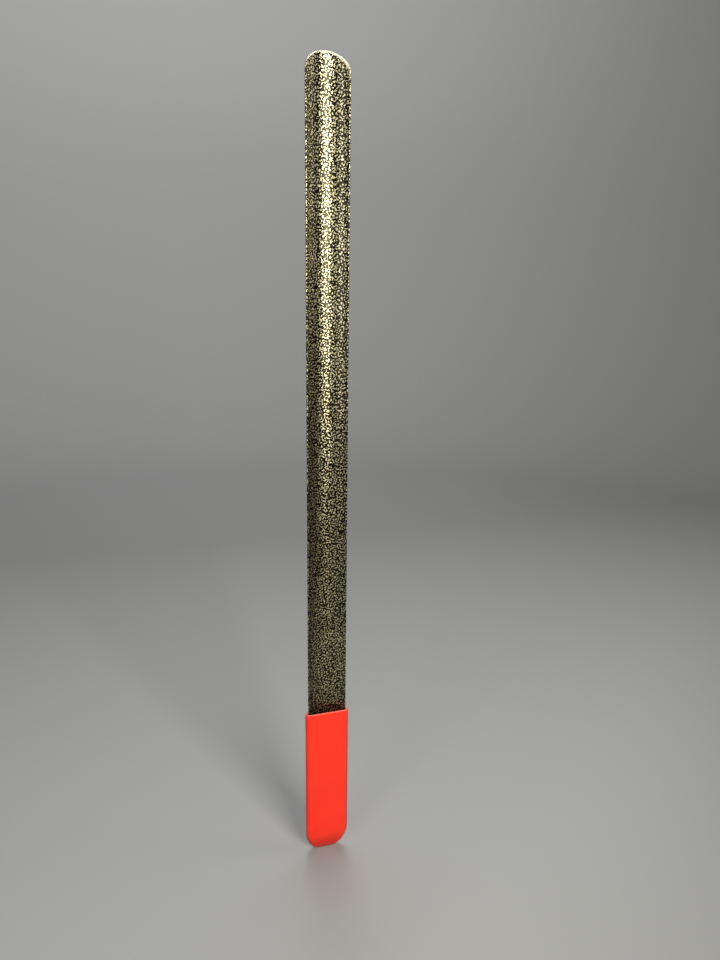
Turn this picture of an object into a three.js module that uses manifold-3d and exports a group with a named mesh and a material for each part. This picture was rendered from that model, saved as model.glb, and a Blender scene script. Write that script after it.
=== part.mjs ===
// A long-handled shoehorn: one trough-shaped steel blade, and the soft vinyl grip that slips over its
// handle end. Millimetres, +Z up. The shoehorn stands on the closed end of its grip. The blade's hollow side
// faces -Y, and the origin is at the middle of the object's box in X and Y, on the surface that it stands on.
import * as THREE from "three";
import { ConvexGeometry } from "three/addons/geometries/ConvexGeometry.js";
import { mergeVertices } from "three/addons/utils/BufferGeometryUtils.js";
import Module from "manifold-3d";

const OVERALL_LENGTH = 762; // 30 inches, from the grip's closed end to the blade's tip

const STRIP_WIDTH = 43; // the flat strip, before it is bent into a trough
const STRIP_THICKNESS = 1.5; // sheet steel with its powder coat
const BEND_RADIUS = 26; // the trough's radius, at the middle of the sheet
const TIP_HEIGHT = 16.8; // the tip is half an ellipse, this high and as wide as the blade
const HANDLE_CORNER_WIDTH = 14.5; // the handle end has a quarter ellipse at each side
const HANDLE_CORNER_HEIGHT = 26;

const GRIP_LENGTH = 165;
const GRIP_WALL = 2.1;
const GRIP_BASE_ROUND = 1.2; // the rounding between the grip's closed end and its sides
const FIT_GAP = 0.3; // between the blade and the grip, all round

const ARC_STEPS = 24; // flats that stand for the trough's bend, and for the tip's curve
const CORNER_STEPS = 8; // flats round a corner of the handle end
const ROUND_STEPS = 3; // flats round a small rounding
const CUT_MARGIN = 10; // how far a cutting shape runs past the solid that it cuts

const OUTER_RADIUS = BEND_RADIUS + STRIP_THICKNESS / 2;
const INNER_RADIUS = BEND_RADIUS - STRIP_THICKNESS / 2;
const HALF_BEND = STRIP_WIDTH / BEND_RADIUS / 2; // from the trough's middle to either edge, in radians
const HALF_CHORD = OUTER_RADIUS * Math.sin(HALF_BEND);
const SKIN = FIT_GAP + GRIP_WALL; // from the blade to the outside of the grip
const BLADE_BOTTOM = SKIN;

// The middle of the bend, placed so that the grip's front and back are equally far from the origin.
const FRONT_FROM_BEND = INNER_RADIUS * Math.cos(HALF_BEND) - SKIN;
const BACK_FROM_BEND = OUTER_RADIUS + SKIN;
const BEND_Y = -(FRONT_FROM_BEND + BACK_FROM_BEND) / 2;

const QUARTER = Math.PI / 2;

const wasm = await Module();
wasm.setup();

// three.js geometry to a manifold-3d solid.
function toSolid(geometry) {
  const bare = geometry.clone();
  bare.deleteAttribute("normal");
  bare.deleteAttribute("uv");
  const merged = mergeVertices(bare, 1e-4);
  const vertProperties = new Float32Array(merged.attributes.position.array);
  const triVerts = new Uint32Array(merged.index.array);
  return new wasm.Manifold(new wasm.Mesh({ numProp: 3, vertProperties, triVerts }));
}

// A manifold-3d solid to three.js geometry.
function toGeometry(solid) {
  const mesh = solid.getMesh();
  const geometry = new THREE.BufferGeometry();
  geometry.setAttribute("position", new THREE.BufferAttribute(new Float32Array(mesh.vertProperties), 3));
  geometry.setIndex(new THREE.BufferAttribute(new Uint32Array(mesh.triVerts), 1));
  geometry.computeVertexNormals();
  return geometry;
}

function extruded(shape, depth) {
  return new THREE.ExtrudeGeometry(shape, { depth, bevelEnabled: false, curveSegments: ARC_STEPS / 2 });
}

// The trough: the strip's bent section, drawn up over the blade's whole height.
function trough() {
  const section = new THREE.Shape();
  section.absarc(0, BEND_Y, OUTER_RADIUS, QUARTER - HALF_BEND, QUARTER + HALF_BEND, false);
  section.absarc(0, BEND_Y, INNER_RADIUS, QUARTER + HALF_BEND, QUARTER - HALF_BEND, true);
  const geometry = extruded(section, OVERALL_LENGTH - BLADE_BOTTOM);
  geometry.translate(0, 0, BLADE_BOTTOM);
  return toSolid(geometry);
}

// The blade's front view, drawn through its whole depth: a half ellipse at the tip, and at the handle end a
// short flat between two quarter ellipses.
function frontView() {
  const width = HANDLE_CORNER_WIDTH;
  const height = HANDLE_CORNER_HEIGHT;
  const side = HALF_CHORD - width;
  const foot = BLADE_BOTTOM + height;
  const outline = new THREE.Shape();
  outline.absellipse(-side, foot, width, height, 2 * QUARTER, 3 * QUARTER, false);
  outline.absellipse(side, foot, width, height, 3 * QUARTER, 4 * QUARTER, false);
  outline.absellipse(0, OVERALL_LENGTH - TIP_HEIGHT, HALF_CHORD, TIP_HEIGHT, 0, 2 * QUARTER, false);
  const depth = 2 * OUTER_RADIUS;
  const geometry = extruded(outline, depth);
  geometry.rotateX(QUARTER);
  geometry.translate(0, depth / 2, 0);
  return toSolid(geometry);
}

// The steel strip, bent to a trough from end to end.
function steelBlade() {
  return toGeometry(trough().intersect(frontView()));
}

// Points on a level of the grip: this far out from the blade where it is cut to the given half width, round
// its back and its two edges. The front, across the hollow, needs none, because it is straight.
function levelPoints(halfWidth, offset, z) {
  const points = [];
  const outerAngle = Math.asin(halfWidth / OUTER_RADIUS);
  const innerAngle = Math.min(HALF_BEND, Math.asin(halfWidth / INNER_RADIUS));
  function add(radius, angle, outward) {
    const x = radius * Math.cos(angle) + offset * Math.cos(outward);
    const y = BEND_Y + radius * Math.sin(angle) + offset * Math.sin(outward);
    points.push(new THREE.Vector3(x, y, z));
  }
  for (let i = 0; i <= ARC_STEPS; i += 1) {
    const angle = QUARTER + outerAngle * (2 * i / ARC_STEPS - 1);
    add(OUTER_RADIUS, angle, angle);
  }
  for (const side of [-1, 1]) {
    const outerEdge = QUARTER + side * outerAngle;
    const innerEdge = QUARTER + side * innerAngle;
    for (let i = 0; i <= ROUND_STEPS; i += 1) {
      const turn = side * QUARTER * i / ROUND_STEPS;
      add(OUTER_RADIUS, outerEdge, outerEdge + turn);
      add(INNER_RADIUS, innerEdge, QUARTER + side * QUARTER + turn);
    }
  }
  return points;
}

// A solid drawn tight round the blade's handle end, this far out from it. The soft sleeve stretches straight
// from edge to edge, so its shape is the convex one.
function tightSolid(offset, baseRound, top) {
  const points = [];
  const side = HALF_CHORD - HANDLE_CORNER_WIDTH;
  const bottom = BLADE_BOTTOM - offset;
  const foot = bottom + baseRound;
  for (let i = 0; i < ROUND_STEPS; i += 1) {
    const turn = QUARTER * i / ROUND_STEPS;
    const outward = offset - baseRound * (1 - Math.sin(turn));
    points.push(...levelPoints(side, outward, foot - baseRound * Math.cos(turn)));
  }
  for (let i = 0; i <= CORNER_STEPS; i += 1) {
    const turn = QUARTER * i / CORNER_STEPS;
    const halfWidth = side + HANDLE_CORNER_WIDTH * Math.sin(turn);
    const rise = BLADE_BOTTOM + HANDLE_CORNER_HEIGHT - foot;
    points.push(...levelPoints(halfWidth, offset, foot + rise * (1 - Math.cos(turn))));
  }
  points.push(...levelPoints(HALF_CHORD, offset, top));
  return toSolid(new ConvexGeometry(points));
}

// The vinyl grip: a blind pocket with an open mouth at the top. It lies on the blade's back and edges, and
// its flat front leaves the hollow behind it empty.
function vinylGrip() {
  const outside = tightSolid(SKIN, GRIP_BASE_ROUND, GRIP_LENGTH);
  const pocket = tightSolid(FIT_GAP, 0, GRIP_LENGTH + CUT_MARGIN);
  return toGeometry(outside.subtract(pocket));
}

const silverVeinCoat = new THREE.MeshStandardMaterial({ color: 0x5a5548, roughness: 0.38, metalness: 0.75 });
const redVinyl = new THREE.MeshStandardMaterial({ color: 0xe8301f, roughness: 0.45, metalness: 0 });

function namedMesh(name, geometry, material) {
  const mesh = new THREE.Mesh(geometry, material);
  mesh.name = name;
  return mesh;
}

const shoehorn = new THREE.Group();
shoehorn.name = "long_shoehorn";
shoehorn.add(namedMesh("steel_blade", steelBlade(), silverVeinCoat));
shoehorn.add(namedMesh("vinyl_grip", vinylGrip(), redVinyl));

export default shoehorn;
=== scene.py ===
import math

import bmesh
import bpy
from mathutils import Matrix, Vector, noise


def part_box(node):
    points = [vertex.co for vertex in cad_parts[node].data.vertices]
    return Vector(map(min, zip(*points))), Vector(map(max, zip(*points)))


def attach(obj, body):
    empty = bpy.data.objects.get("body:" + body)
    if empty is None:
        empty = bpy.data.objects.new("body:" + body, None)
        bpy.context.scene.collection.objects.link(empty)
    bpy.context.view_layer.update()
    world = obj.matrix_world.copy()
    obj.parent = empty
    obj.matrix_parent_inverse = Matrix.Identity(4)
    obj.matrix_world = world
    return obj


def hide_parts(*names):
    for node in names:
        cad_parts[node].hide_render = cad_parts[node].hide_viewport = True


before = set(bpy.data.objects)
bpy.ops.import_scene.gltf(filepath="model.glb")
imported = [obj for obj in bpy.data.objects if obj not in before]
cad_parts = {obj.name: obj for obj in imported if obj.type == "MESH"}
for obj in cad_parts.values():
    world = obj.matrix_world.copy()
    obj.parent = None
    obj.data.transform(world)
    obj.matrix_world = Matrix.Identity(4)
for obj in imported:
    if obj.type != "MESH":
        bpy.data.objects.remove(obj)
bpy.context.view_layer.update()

# Every length is in metres, in the record's frame: +Z up, and the blade's hollow side facing -Y.
MM = 0.001

# The blade: a strip bent to a trough, as the CAD has it.
STRIP_THICKNESS = 1.5 * MM
BEND_RADIUS = 26 * MM
TIP_HEIGHT = 16.8 * MM  # the tip is half an ellipse, as wide as the blade
CORNER_WIDTH = 14.5 * MM  # the handle end has a quarter ellipse at each side
CORNER_HEIGHT = 26 * MM
EDGE_ROUND = 0.7 * MM  # what deburring and the coat leave on the strip's edges

# The grip: a skin drawn tight over the blade's handle end.
SKIN = 2.4 * MM  # from the blade to the outside of the grip
POCKET_GAP = 0.15 * MM  # between the blade and the inside of the grip
BASE_ROUND = 2.3 * MM  # round the closed end
LIP_OUTER_ROUND = 0.5 * MM  # at the open rim
LIP_INNER_ROUND = 1.1 * MM
SKIN_UNEVENNESS = 0.1 * MM
LONG_WAVE = 22 * MM  # the skin's unevenness, and half as much again in shorter waves
SHORT_WAVE = 9 * MM
RIM_ZONE = 2 * MM  # the rim's top isn't quite level
RIM_UNEVENNESS = 0.12 * MM
RIM_WAVE = 12 * MM

OUTER_RADIUS = BEND_RADIUS + STRIP_THICKNESS / 2
INNER_RADIUS = BEND_RADIUS - STRIP_THICKNESS / 2
QUARTER = math.pi / 2

blade_low, blade_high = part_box("steel_blade")
grip_low, grip_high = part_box("vinyl_grip")
HALF_CHORD = blade_high.x
BEND_Y = blade_high.y - OUTER_RADIUS  # the middle of the bend, in front of the hollow side
BLADE_BOTTOM = blade_low.z
BLADE_TOP = blade_high.z
GRIP_TOP = grip_high.z
END_HALF = HALF_CHORD - CORNER_WIDTH  # half the flat part of the handle end


def make_object(name, vertices, faces):
    mesh = bpy.data.meshes.new(name)
    mesh.from_pydata(vertices, [], faces)
    work = bmesh.new()
    work.from_mesh(mesh)
    bmesh.ops.recalc_face_normals(work, faces=work.faces)
    work.to_mesh(mesh)
    work.free()
    mesh.shade_smooth()
    piece = bpy.data.objects.new(name, mesh)
    bpy.context.scene.collection.objects.link(piece)
    return piece


# ---- the blade ----

FACE_COLUMNS = 49
CORNER_ROWS = 14
TIP_ROWS = 22
STRAIGHT_STEP = 4 * MM
EDGE_STEPS = 4  # round a quarter turn of the strip's edge
EDGE_ARC_STEP = EDGE_ROUND * QUARTER / EDGE_STEPS

# the name that the export gives to the map it bakes into
BAKE_MAP = "OFBake"  # the name of the UV map that the coat is laid out on for baking
LANE_CUTS = 3  # each face of the blade is cut into this many lengths
LANE_PITCH = 47 * MM  # the strip with its edges unrolled, and a gap
LANE_MARGIN = 6 * MM


def strip_position(x):
    """Where the front view's x lies on the flat strip, from its middle."""
    return BEND_RADIUS * math.asin(x / OUTER_RADIUS)


def bent(s, z, height):
    """A point of the flat strip, raised this far towards its back, after bending."""
    angle = s / BEND_RADIUS
    radius = BEND_RADIUS + height
    return (radius * math.sin(angle), BEND_Y + radius * math.cos(angle), z)


def blade_rows():
    """The right half of the strip's outline from the handle end up, as (s, z)."""
    rows = []
    for i in range(CORNER_ROWS + 1):
        turn = QUARTER * i / CORNER_ROWS
        x = END_HALF + CORNER_WIDTH * math.sin(turn)
        rows.append((strip_position(x), BLADE_BOTTOM + CORNER_HEIGHT * (1 - math.cos(turn))))
    low = BLADE_BOTTOM + CORNER_HEIGHT
    high = BLADE_TOP - TIP_HEIGHT
    count = round((high - low) / STRAIGHT_STEP)
    for i in range(1, count):
        rows.append((strip_position(HALF_CHORD), low + (high - low) * i / count))
    for i in range(TIP_ROWS):
        turn = QUARTER * i / TIP_ROWS
        rows.append((strip_position(HALF_CHORD * math.cos(turn)), high + TIP_HEIGHT * math.sin(turn)))
    return rows


def outward_normals(rows):
    """The outline's outward direction at each row."""
    normals = [(0.0, -1.0)]
    ends = rows[1:] + [(0.0, BLADE_TOP)]
    for before, after in zip(rows[:-1], ends[1:]):
        along = Vector((after[0] - before[0], after[1] - before[1])).normalized()
        normals.append((along.y, -along.x))
    return normals


class Strip:
    """The blade's mesh while it is built, with each vertex's (s, z) on the flattened back and front."""

    def __init__(self):
        self.vertices = []
        self.faces = []
        self.unrolled = ({}, {})

    def add(self, s, z, height):
        self.vertices.append(bent(s, z, height))
        return len(self.vertices) - 1


def add_face(strip, side, rows, normals):
    """The strip's back (side 0) or front (side 1), up to its rounded edge. Returns its rows and its apex."""
    height = STRIP_THICKNESS / 2 if side == 0 else -STRIP_THICKNESS / 2
    grid = []
    for (s, z), (ns, nz) in zip(rows, normals):
        line = []
        for k in range(FACE_COLUMNS):
            u = 2 * k / (FACE_COLUMNS - 1) - 1
            place = ((s - EDGE_ROUND * ns) * u, z - EDGE_ROUND * nz)
            line.append(strip.add(*place, height))
            strip.unrolled[side][line[-1]] = place
        grid.append(line)
    apex = strip.add(0, BLADE_TOP - EDGE_ROUND, height)
    strip.unrolled[side][apex] = (0, BLADE_TOP - EDGE_ROUND)
    for lower, upper in zip(grid, grid[1:]):
        for k in range(FACE_COLUMNS - 1):
            strip.faces.append((lower[k], lower[k + 1], upper[k + 1], upper[k]))
    for k in range(FACE_COLUMNS - 1):
        strip.faces.append((grid[-1][k], grid[-1][k + 1], apex))
    return grid, apex


def face_border(rows, normals):
    """All the way round a face: (row and column, or None at the apex; s; z; the outward direction)."""
    border = []
    s, z = rows[0]
    ns, nz = normals[0]
    for k in range(FACE_COLUMNS):
        u = 2 * k / (FACE_COLUMNS - 1) - 1
        border.append(((0, k), (s - EDGE_ROUND * ns) * u, z - EDGE_ROUND * nz, ns, nz))
    for j in range(1, len(rows)):
        (s, z), (ns, nz) = rows[j], normals[j]
        border.append(((j, FACE_COLUMNS - 1), s - EDGE_ROUND * ns, z - EDGE_ROUND * nz, ns, nz))
    border.append((None, 0.0, BLADE_TOP - EDGE_ROUND, 0.0, 1.0))
    for j in range(len(rows) - 1, 0, -1):
        (s, z), (ns, nz) = rows[j], normals[j]
        border.append(((j, 0), -(s - EDGE_ROUND * ns), z - EDGE_ROUND * nz, -ns, nz))
    return border


def edge_profile():
    """The rounded edge from the back to the front, as (how far out, height)."""
    straight = STRIP_THICKNESS / 2 - EDGE_ROUND
    back = []
    for i in range(1, EDGE_STEPS + 1):
        turn = QUARTER * (1 - i / EDGE_STEPS)
        back.append((math.cos(turn), straight + EDGE_ROUND * math.sin(turn)))
    return back + [(out, -height) for out, height in reversed(back)]


def add_edge(strip, border, back, front):
    """The strip's edge: a ring of vertices at every border point, from the back face to the front face."""

    def border_vertex(face, place):
        grid, apex = face
        return apex if place is None else grid[place[0]][place[1]]

    profile = edge_profile()
    rings = []
    for place, s, z, ns, nz in border:
        ring = [border_vertex(back, place)]
        for i, (out, height) in enumerate(profile):
            vertex = strip.add(s + EDGE_ROUND * out * ns, z + EDGE_ROUND * out * nz, height)
            to_back = (i + 1) * EDGE_ARC_STEP
            to_front = (len(profile) - i) * EDGE_ARC_STEP
            if i <= EDGE_STEPS:
                strip.unrolled[0][vertex] = (s + to_back * ns, z + to_back * nz)
            if i >= EDGE_STEPS:
                strip.unrolled[1][vertex] = (s + to_front * ns, z + to_front * nz)
            ring.append(vertex)
        ring.append(border_vertex(front, place))
        rings.append(ring)
    for a, b in zip(rings, rings[1:] + rings[:1]):
        for i in range(len(a) - 1):
            strip.faces.append((a[i], b[i], b[i + 1], a[i + 1]))


def lay_out_blade(mesh, unrolled):
    """The UV map for baking the coat: the two faces, cut into equal lengths, side by side.

    It keeps the fine veins sharp. One long narrow map would stretch them along the blade.
    """
    cut = (BLADE_TOP - BLADE_BOTTOM) / LANE_CUTS
    size = 2 * LANE_CUTS * LANE_PITCH
    places = mesh.uv_layers.new(name=BAKE_MAP).data
    for face in mesh.polygons:
        side = 0 if all(v in unrolled[0] for v in face.vertices) else 1
        spots = [unrolled[side][v] for v in face.vertices]
        middle = sum(z for s, z in spots) / len(spots)
        length = min(LANE_CUTS - 1, int((middle - BLADE_BOTTOM) / cut))
        facing = -1 if side == 0 else 1
        for corner, (s, z) in zip(face.loop_indices, spots):
            across = (side * LANE_CUTS + length + 0.5) * LANE_PITCH + facing * s
            along = z - BLADE_BOTTOM - length * cut + LANE_MARGIN
            places[corner].uv = (across / size, along / size)


def make_blade():
    rows = blade_rows()
    normals = outward_normals(rows)
    strip = Strip()
    back = add_face(strip, 0, rows, normals)
    front = add_face(strip, 1, rows, normals)
    add_edge(strip, face_border(rows, normals), back, front)
    piece = make_object("blade_strip", strip.vertices, strip.faces)
    lay_out_blade(piece.data, strip.unrolled)
    return piece


# ---- the grip ----

BACK_POINTS = 49
CORNER_POINTS = 6
FRONT_POINTS = 37
GRIP_STEP = 3 * MM
END_LEVELS = 20
BASE_LEVELS = 6
LIP_LEVELS = 4
OUTLINE_STEPS = 400  # fine enough to read widths from


def section(half_width, offset):
    """The loop this far outside a strip of this half width: round its back and edges, straight in front."""
    angle = math.asin(half_width / OUTER_RADIUS)
    points = []

    def add(radius, at, towards):
        x = radius * math.sin(at) + offset * math.sin(towards)
        y = BEND_Y + radius * math.cos(at) + offset * math.cos(towards)
        points.append((x, y))

    for i in range(BACK_POINTS):
        at = angle * (2 * i / (BACK_POINTS - 1) - 1)
        add(OUTER_RADIUS, at, at)
    for i in range(1, CORNER_POINTS + 1):
        add(OUTER_RADIUS, angle, angle + QUARTER * i / CORNER_POINTS)
    for i in range(CORNER_POINTS + 1):
        add(INNER_RADIUS, angle, angle + QUARTER + (QUARTER - angle) * i / CORNER_POINTS)
    edge_x, edge_y = points[-1]
    for i in range(1, FRONT_POINTS):
        points.append((edge_x * (1 - 2 * i / FRONT_POINTS), edge_y))
    for i in range(CORNER_POINTS, -1, -1):
        add(INNER_RADIUS, -angle, -(angle + QUARTER + (QUARTER - angle) * i / CORNER_POINTS))
    for i in range(CORNER_POINTS, 0, -1):
        add(OUTER_RADIUS, -angle, -(angle + QUARTER * i / CORNER_POINTS))
    return points


def end_outline(offset, count):
    """Half the outline this far outside the blade's handle end, as (half width, z), from the middle up."""
    outline = []
    for i in range(count + 1):
        turn = QUARTER * i / count
        across = Vector((CORNER_HEIGHT * math.sin(turn), -CORNER_WIDTH * math.cos(turn))).normalized()
        x = END_HALF + CORNER_WIDTH * math.sin(turn) + offset * across.x
        z = BLADE_BOTTOM + CORNER_HEIGHT * (1 - math.cos(turn)) + offset * across.y
        outline.append((x, z))
    return outline


def outline_width(outline, z):
    """The outline's half width at a height."""
    for (x0, z0), (x1, z1) in zip(outline, outline[1:]):
        if z <= z1:
            return x0 + (x1 - x0) * max(0.0, z - z0) / (z1 - z0)
    return outline[-1][0]


def grip_levels():
    """(blade half width, offset, z) of every loop, from the closed end up the outside and down the pocket."""
    fine = end_outline(SKIN, OUTLINE_STEPS)
    heights = []
    for i in range(BASE_LEVELS):
        heights.append(BASE_ROUND * (1 - math.cos(QUARTER * i / BASE_LEVELS)))
    end = BLADE_BOTTOM + CORNER_HEIGHT
    for i in range(END_LEVELS + 1):
        turn = QUARTER * i / END_LEVELS
        heights.append(BASE_ROUND + (end - BASE_ROUND) * (1 - math.cos(turn)))
    straight = GRIP_TOP - LIP_OUTER_ROUND - end
    count = round(straight / GRIP_STEP)
    for i in range(1, count + 1):
        heights.append(end + straight * i / count)
    levels = []
    for z in heights:
        low = max(0.0, 1 - z / BASE_ROUND)
        offset = SKIN - BASE_ROUND * (1 - math.sqrt(1 - low * low))
        levels.append((outline_width(fine, z) - offset, offset, z))
    for i in range(1, LIP_LEVELS + 1):
        turn = QUARTER * i / LIP_LEVELS
        z = GRIP_TOP - LIP_OUTER_ROUND * (1 - math.sin(turn))
        levels.append((HALF_CHORD, SKIN - LIP_OUTER_ROUND * (1 - math.cos(turn)), z))
    for i in range(LIP_LEVELS, -1, -1):
        turn = QUARTER * i / LIP_LEVELS
        z = GRIP_TOP - LIP_INNER_ROUND * (1 - math.sin(turn))
        levels.append((HALF_CHORD, POCKET_GAP + LIP_INNER_ROUND * (1 - math.cos(turn)), z))
    straight = GRIP_TOP - LIP_INNER_ROUND - end
    for i in range(1, count + 1):
        levels.append((HALF_CHORD, POCKET_GAP, GRIP_TOP - LIP_INNER_ROUND - straight * i / count))
    for x, z in reversed(end_outline(POCKET_GAP, END_LEVELS)[:-1]):
        levels.append((x - POCKET_GAP * 0.5, POCKET_GAP, z))
    return levels


def uneven(place, offset):
    """The place moved a little in or out, as soft vinyl lies. The pocket's inside stays as it is."""
    middle = Vector((0, BEND_Y + INNER_RADIUS, place.z))
    push = (place - middle).normalized()
    waves = noise.noise(place / LONG_WAVE) + 0.5 * noise.noise(place / SHORT_WAVE + Vector((7, 3, 1)))
    share = (offset - POCKET_GAP) / (SKIN - POCKET_GAP)
    moved = place + push * waves * SKIN_UNEVENNESS * max(0.0, share)
    if place.z > GRIP_TOP - RIM_ZONE:
        moved.z += RIM_UNEVENNESS * noise.noise(Vector((place.x, place.y, 0)) / RIM_WAVE + Vector((2, 5, 8)))
    return moved


def make_grip():
    vertices = []
    faces = []
    loops = []
    for half_width, offset, z in grip_levels():
        loop = []
        for x, y in section(half_width, offset):
            loop.append(len(vertices))
            vertices.append(tuple(uneven(Vector((x, y, z)), offset)))
        loops.append(loop)
    for a, b in zip(loops, loops[1:]):
        for i in range(len(a)):
            j = (i + 1) % len(a)
            faces.append((a[i], a[j], b[j], b[i]))
    faces.append(tuple(loops[0]))
    faces.append(tuple(loops[-1]))
    return make_object("grip_sleeve", vertices, faces)


# ---- materials ----


class Shade:
    """A material's node tree, with short calls to add nodes."""

    def __init__(self, name):
        self.material = bpy.data.materials.new(name)
        self.material.use_nodes = True
        self.nodes = self.material.node_tree.nodes
        self.links = self.material.node_tree.links
        self.shader = next(n for n in self.nodes if n.type == "BSDF_PRINCIPLED")

    def set(self, node, socket, value):
        target = node.inputs[socket]
        if isinstance(value, bpy.types.NodeSocket):
            self.links.new(value, target)
        else:
            target.default_value = value

    def node(self, kind, inputs=None, **settings):
        made = self.nodes.new("ShaderNode" + kind)
        for key, value in settings.items():
            setattr(made, key, value)
        for socket, value in (inputs or {}).items():
            self.set(made, socket, value)
        return made

    def place(self):
        return self.node("TexCoord").outputs["Object"]

    def shifted(self, vector, offset):
        return self.node("VectorMath", {0: vector, 1: offset}, operation="ADD").outputs[0]

    def noise(self, vector, scale, detail=0.0):
        return self.node("TexNoise", {"Vector": vector, "Scale": scale, "Detail": detail}).outputs["Fac"]

    def math(self, operation, a, b=0.0, c=0.0):
        return self.node("Math", {0: a, 1: b, 2: c}, operation=operation).outputs[0]

    def ramp(self, value, low, high, out_low=0.0, out_high=1.0):
        inputs = {"Value": value, "From Min": low, "From Max": high, "To Min": out_low, "To Max": out_high}
        return self.node("MapRange", inputs, interpolation_type="SMOOTHSTEP").outputs["Result"]

    def mix(self, factor, a, b):
        made = self.node("Mix", data_type="RGBA")
        self.set(made, "Factor", factor)
        self.set(made, 6, a)
        self.set(made, 7, b)
        return made.outputs[2]

    def mix_value(self, factor, a, b):
        return self.node("Mix", {"Factor": factor, 2: a, 3: b}, data_type="FLOAT").outputs[0]

    def bump(self, height, distance):
        return self.node("Bump", {"Height": height, "Distance": distance, "Strength": 1.0}).outputs["Normal"]


VEIN_PERIOD = 2.6 * MM
VEIN_WAVES = 11
VEIN_SPREAD = 0.2  # how much the waves differ in length
VEIN_WARP = 1.6 * VEIN_PERIOD  # how far the waves are bent
VEIN_FROM = 0.39  # where the waves' sum turns from ground to silver
VEIN_TO = 0.54
VEIN_BREAKING = 1.6  # how much a finer noise breaks the veins up
WARP_SCALE = 260.0
BREAKING_SCALE = 900.0
DRIFT_SCALE = 45.0
FLAKE_SCALE = 2600.0
EDGE_BAND = 2.4 * MM  # how far in from the tip's edge the coat is painted brighter, a painted highlight
GOLDEN = (math.sqrt(5) - 1) / 2

SILVER_DULL = (0.54, 0.49, 0.30, 1)
SILVER_BRIGHT = (0.70, 0.64, 0.41, 1)
SILVER_SPECK = (0.34, 0.29, 0.17, 1)
# painted highlight at the tip's edge
PAINTED_EDGE_HIGHLIGHT = (0.85, 0.80, 0.62, 1)
GROUND = (0.0015, 0.001, 0.0006, 1)
GROUND_SPECK = (0.004, 0.003, 0.002, 1)
GROUND_ROUGHNESS = 0.24
SILVER_ROUGHNESS = 0.37
COAT_RELIEF = 0.09 * MM


def strip_coordinates(shade, place):
    """Where a point of the blade lies on the flat strip: across it, along it, and how far from mid sheet."""
    parts = shade.node("SeparateXYZ", {0: place}).outputs
    forward = shade.math("SUBTRACT", parts["Y"], BEND_Y)
    across = shade.math("MULTIPLY", shade.math("ARCTAN2", parts["X"], forward), BEND_RADIUS)
    forward_squared = shade.math("MULTIPLY", forward, forward)
    radius = shade.math("SQRT", shade.math("MULTIPLY_ADD", parts["X"], parts["X"], forward_squared))
    depth = shade.math("SUBTRACT", radius, BEND_RADIUS)
    return shade.node("CombineXYZ", {"X": across, "Y": parts["Z"], "Z": depth}).outputs[0]


def tip_edge_highlight_mask(shade, flat):
    """Where the painted highlight lies: 1 at the edge of the blade's tip, falling to 0 a little way in, and
    stronger to the right, where the light falls.
    """
    parts = shade.node("SeparateXYZ", {0: flat}).outputs
    front_x = shade.math("SINE", shade.math("DIVIDE", parts["X"], BEND_RADIUS))
    across = shade.math("MULTIPLY", front_x, OUTER_RADIUS / HALF_CHORD)
    above = shade.math("MAXIMUM", shade.math("SUBTRACT", parts["Y"], BLADE_TOP - TIP_HEIGHT), 0.0)
    along = shade.math("DIVIDE", above, TIP_HEIGHT)
    along_squared = shade.math("MULTIPLY", along, along)
    reach = shade.math("SQRT", shade.math("MULTIPLY_ADD", across, across, along_squared))
    near = shade.ramp(reach, 1 - EDGE_BAND / TIP_HEIGHT, 1.0)
    at_tip = shade.ramp(parts["Y"], BLADE_TOP - 1.3 * TIP_HEIGHT, BLADE_TOP - 0.5 * TIP_HEIGHT)
    to_one_side = shade.ramp(parts["X"], -0.5 * HALF_CHORD, 0.3 * HALF_CHORD, 0.3, 1.0)
    return shade.math("MULTIPLY", near, shade.math("MULTIPLY", at_tip, to_one_side))


def vein_waves(shade, flat):
    """Waves of about one length that run in all directions. Their sum is a maze of short worms."""
    warp = shade.node("TexNoise", {"Vector": flat, "Scale": WARP_SCALE, "Detail": 1.0}).outputs["Color"]
    warp = shade.node("VectorMath", {0: warp, 1: (0.5, 0.5, 0.5)}, operation="SUBTRACT").outputs[0]
    bend = {0: warp, 1: (VEIN_WARP,) * 3, 2: flat}
    moved = shade.node("VectorMath", bend, operation="MULTIPLY_ADD").outputs[0]
    total = 0.0
    for i in range(VEIN_WAVES):
        # The sines make the waves' directions, lengths and slants a little irregular.
        angle = math.pi * (i + 0.35 * math.sin(5.1 * i)) / VEIN_WAVES
        tight = 2 * math.pi / VEIN_PERIOD * (1 + VEIN_SPREAD * math.sin(2.7 * i + 1))
        through = 2 * math.pi / VEIN_PERIOD * math.cos(3.3 * i)
        wave = (tight * math.cos(angle), tight * math.sin(angle), through)
        phase = shade.node("VectorMath", {0: moved, 1: wave}, operation="DOT_PRODUCT").outputs["Value"]
        sine = shade.math("SINE", shade.math("ADD", phase, 2 * math.pi * GOLDEN * i))
        total = shade.math("ADD", sine, total)
    return shade.math("MULTIPLY", total, 1 / math.sqrt(VEIN_WAVES))


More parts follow.
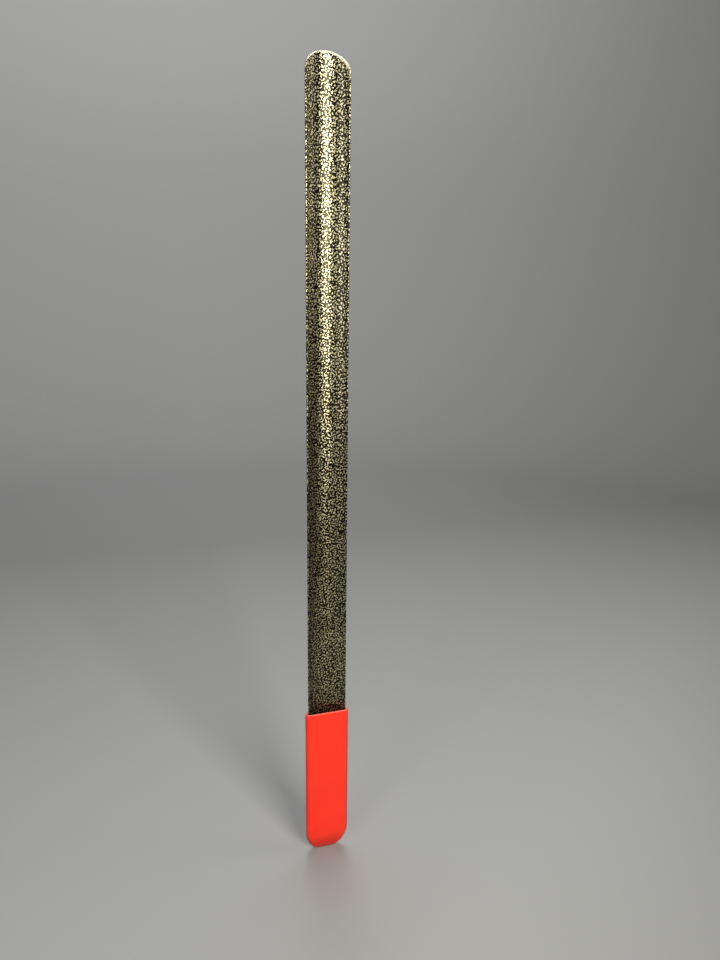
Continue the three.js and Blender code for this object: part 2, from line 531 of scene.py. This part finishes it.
def silver_vein_coat():
    """Powder coat: a glossy black ground with rougher metallic veins, and a painted highlight at the tip's
    edge.
    """
    shade = Shade("silver_vein_coat")
    flat = strip_coordinates(shade, shade.place())
    broken = shade.noise(shade.shifted(flat, (6.1, 0.7, 3.9)), BREAKING_SCALE)
    breaking = shade.math("SUBTRACT", broken, 0.5)
    worms = shade.math("MULTIPLY_ADD", breaking, VEIN_BREAKING, vein_waves(shade, flat))
    # Painted highlight at the tip's edge: more silver, a paler colour and less metal there.
    edge = tip_edge_highlight_mask(shade, flat)
    veins = shade.ramp(shade.math("MULTIPLY_ADD", edge, 2.4, worms), VEIN_FROM, VEIN_TO)
    drift = shade.noise(shade.shifted(flat, (3.1, 1.7, 0.4)), DRIFT_SCALE, detail=2.0)
    flakes = shade.noise(shade.shifted(flat, (5.3, 2.9, 8.8)), FLAKE_SCALE, detail=1.0)
    silver = shade.mix(shade.ramp(drift, 0.35, 0.65), SILVER_DULL, SILVER_BRIGHT)
    silver = shade.mix(shade.ramp(flakes, 0.3, 0.7, 0.0, 0.45), silver, SILVER_SPECK)
    silver = shade.mix(shade.math("MULTIPLY", edge, 0.8), silver, PAINTED_EDGE_HIGHLIGHT)
    ground = shade.mix(shade.ramp(flakes, 0.45, 0.7), GROUND, GROUND_SPECK)
    shade.set(shade.shader, "Base Color", shade.mix(veins, ground, silver))
    less_metal_under_highlight = shade.math("MULTIPLY_ADD", edge, -0.9, 1.0)
    shade.set(shade.shader, "Metallic", shade.math("MULTIPLY", veins, less_metal_under_highlight))
    shade.set(shade.shader, "Specular IOR Level", 0.30)
    shade.set(shade.shader, "Specular Tint", (1.0, 0.92, 0.62, 1))
    rough = shade.mix_value(veins, GROUND_ROUGHNESS, SILVER_ROUGHNESS)
    rough = shade.math("ADD", rough, shade.ramp(flakes, 0.3, 0.7, -0.03, 0.03))
    shade.set(shade.shader, "Roughness", rough)
    height = shade.math("ADD", shade.ramp(worms, -1.2, 1.2), shade.math("MULTIPLY", flakes, 0.1))
    shade.set(shade.shader, "Normal", shade.bump(height, COAT_RELIEF))
    return shade.material


RIM_BAND = 1.3 * MM  # the rim's top is painted paler, a painted highlight
RIM_EDGE = 0.3 * MM
VINYL_RED = (0.83, 0.028, 0.008, 1)
VINYL_RED_DULL = (0.80, 0.026, 0.007, 1)
# painted highlight on the rim's top
VINYL_RIM_HIGHLIGHT = (0.80, 0.14, 0.09, 1)
# painted shade where the grip is seen at a slant
VINYL_PAINTED_SLANT_SHADE = (0.12, 0.003, 0.001, 1)
VINYL_RELIEF = 0.012 * MM
VINYL_DRIFT_SCALE = 30.0
PEEL_SCALE = 900.0


def red_vinyl():
    """Soft satin vinyl with a faint orange peel, a painted highlight on the rim and painted shade where it is
    seen at a slant.
    """
    shade = Shade("red_vinyl")
    place = shade.place()
    drift = shade.noise(place, VINYL_DRIFT_SCALE, detail=3.0)
    peel = shade.noise(shade.shifted(place, (4.2, 1.1, 6.0)), PEEL_SCALE, detail=2.0)
    red = shade.mix(shade.ramp(drift, 0.35, 0.65), VINYL_RED, VINYL_RED_DULL)
    height = shade.node("SeparateXYZ", {0: place}).outputs["Z"]
    # Painted highlight along the rim's top.
    rim = shade.ramp(height, GRIP_TOP - RIM_BAND, GRIP_TOP - RIM_EDGE)
    colour = shade.mix(rim, red, VINYL_RIM_HIGHLIGHT)
    # Painted shade: the colour darkens where the surface is seen at a slant, so the grip's sides and closed
    # end look shaded.
    slant = shade.node("LayerWeight", {"Blend": 0.5}).outputs["Facing"]
    colour = shade.mix(shade.ramp(slant, 0.30, 0.85, 0.0, 0.8), colour, VINYL_PAINTED_SLANT_SHADE)
    shade.set(shade.shader, "Base Color", colour)
    shade.set(shade.shader, "Roughness", shade.ramp(drift, 0.3, 0.7, 0.32, 0.42))
    shade.set(shade.shader, "Specular IOR Level", 0.4)
    shade.set(shade.shader, "Normal", shade.bump(peel, VINYL_RELIEF))
    shade.set(shade.shader, "Subsurface Weight", 0.6)
    shade.set(shade.shader, "Subsurface Radius", (3 * MM, 0.4 * MM, 0.3 * MM))
    shade.set(shade.shader, "Subsurface Scale", 1.0)
    return shade.material


# ---- the object ----

blade = make_blade()
blade.data.materials.append(silver_vein_coat())
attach(blade, "blade")
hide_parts("steel_blade")

grip = make_grip()
grip.data.materials.append(red_vinyl())
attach(grip, "grip")
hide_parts("vinyl_grip")


# ---- the studio ----

PAPER = (0.33, 0.335, 0.335, 1)
# painted shade: the paper's colour in front and to the right
PAPER_PAINTED_DIM = (0.13, 0.13, 0.13, 1)
FLOOR_RADIUS = 1.7
SWEEP_RADIUS = 1.0
WALL_TOP = 3.2
FLOOR_RINGS = 8
SWEEP_RINGS = 16
STUDIO_TURNS = 96


def studio_paper():
    """Pale paper under and behind the object. In front and to the right the paper is painted dark, painted
    shade for a dim room.
    """
    shade = Shade("studio_paper")
    aside = shade.node("VectorMath", {0: shade.place(), 1: (0.6, -0.8, 0)}, operation="DOT_PRODUCT")
    # Painted shade: darker paper in front and to the right.
    dim = shade.ramp(aside.outputs["Value"], 0.15, 0.75)
    shade.set(shade.shader, "Base Color", shade.mix(dim, PAPER, PAPER_PAINTED_DIM))
    shade.set(shade.shader, "Roughness", 0.9)
    shade.set(shade.shader, "Specular IOR Level", 0.1)
    return shade.material


def make_studio():
    """A pale floor that sweeps up to a wall all round."""
    profile = []
    for i in range(FLOOR_RINGS):
        profile.append((FLOOR_RADIUS * (i + 1) / FLOOR_RINGS, 0.0))
    for i in range(1, SWEEP_RINGS + 1):
        turn = QUARTER * i / SWEEP_RINGS
        profile.append((FLOOR_RADIUS + SWEEP_RADIUS * math.sin(turn), SWEEP_RADIUS * (1 - math.cos(turn))))
    profile.append((FLOOR_RADIUS + SWEEP_RADIUS, WALL_TOP))
    vertices = [(0, 0, 0)]
    faces = []
    for radius, z in profile:
        for k in range(STUDIO_TURNS):
            angle = 2 * math.pi * k / STUDIO_TURNS
            vertices.append((radius * math.cos(angle), radius * math.sin(angle), z))
    for k in range(STUDIO_TURNS):
        faces.append((0, 1 + k, 1 + (k + 1) % STUDIO_TURNS))
    for j in range(len(profile) - 1):
        for k in range(STUDIO_TURNS):
            a = 1 + j * STUDIO_TURNS + k
            b = 1 + j * STUDIO_TURNS + (k + 1) % STUDIO_TURNS
            faces.append((a, a + STUDIO_TURNS, b + STUDIO_TURNS, b))
    mesh = bpy.data.meshes.new("studio_sweep")
    mesh.from_pydata(vertices, [], faces)
    mesh.shade_smooth()
    studio = bpy.data.objects.new("studio_sweep", mesh)
    bpy.context.scene.collection.objects.link(studio)
    studio.data.materials.append(studio_paper())


def soft_light(name, place, aim, width, height, power, colour=(1, 1, 1)):
    """A rectangular light at a place, facing a point."""
    light = bpy.data.lights.new(name, "AREA")
    light.shape = "RECTANGLE"
    light.size = width
    light.size_y = height
    light.energy = power
    light.color = colour
    lamp = bpy.data.objects.new(name, light)
    bpy.context.scene.collection.objects.link(lamp)
    lamp.visible_camera = False
    lamp.location = place
    lamp.rotation_euler = (Vector(aim) - Vector(place)).to_track_quat("-Z", "Y").to_euler()


def around(azimuth, distance, z):
    """A place this far from the blade's axis. Azimuth 0 is in front, and 90 to the right."""
    turn = math.radians(azimuth)
    return (math.sin(turn) * distance, -math.cos(turn) * distance, z)


make_studio()
soft_light("key", around(12, 1.45, 0.98), (0, 0, 0.75), 0.6, 1.15, 34, (1.0, 0.96, 0.86))
soft_light("fill_left", around(-45, 1.5, 0.8), (0, 0, 0.5), 0.5, 0.9, 6.5)
soft_light("fill_right", around(75, 1.4, 1.1), (0, 0, 0.7), 0.5, 1.0, 2.6)
soft_light("back", around(168, 1.45, 2.2), (0, 0, 0.5), 0.7, 1.1, 8)
soft_light("above", around(160, 0.22, 1.4), (0.0, 0.1, 0), 0.5, 0.5, 8)
soft_light("wall", (0, 1.0, 1.9), (0, 2.7, 1.9), 1.6, 0.5, 28)
soft_light("wall_in_front", (0, -1.0, 1.9), (0, -2.7, 1.6), 1.6, 0.5, 12)

world = bpy.data.worlds.new("studio_light")
bpy.context.scene.world = world
world.use_nodes = True
background = world.node_tree.nodes["Background"].inputs
background["Color"].default_value = (0.95, 0.97, 1.0, 1)
background["Strength"].default_value = 0.036
bpy.context.scene.view_settings.view_transform = "Standard"


# ---- the camera ----

CAMERA_PLACE = Vector((-168.1, -626.8, 570.8)) * MM
CAMERA_YAW = math.radians(17.78)
CAMERA_PITCH = math.radians(14.39)
CAMERA_ROLL = math.radians(0.78)
CAMERA_LENS = 27.045
CAMERA_SENSOR = 36


def make_camera():
    data = bpy.data.cameras.new("camera")
    data.lens = CAMERA_LENS
    data.sensor_width = CAMERA_SENSOR
    camera = bpy.data.objects.new("camera", data)
    bpy.context.scene.collection.objects.link(camera)
    forward = Vector((
        math.sin(CAMERA_YAW) * math.cos(CAMERA_PITCH),
        math.cos(CAMERA_YAW) * math.cos(CAMERA_PITCH),
        -math.sin(CAMERA_PITCH),
    ))
    level_right = Vector((math.cos(CAMERA_YAW), -math.sin(CAMERA_YAW), 0))
    level_up = level_right.cross(forward)
    right = level_right * math.cos(CAMERA_ROLL) + level_up * math.sin(CAMERA_ROLL)
    up = level_up * math.cos(CAMERA_ROLL) - level_right * math.sin(CAMERA_ROLL)
    turned = Matrix((right, up, -forward)).transposed()
    camera.matrix_world = Matrix.Translation(CAMERA_PLACE) @ turned.to_4x4()
    bpy.context.scene.camera = camera


make_camera()
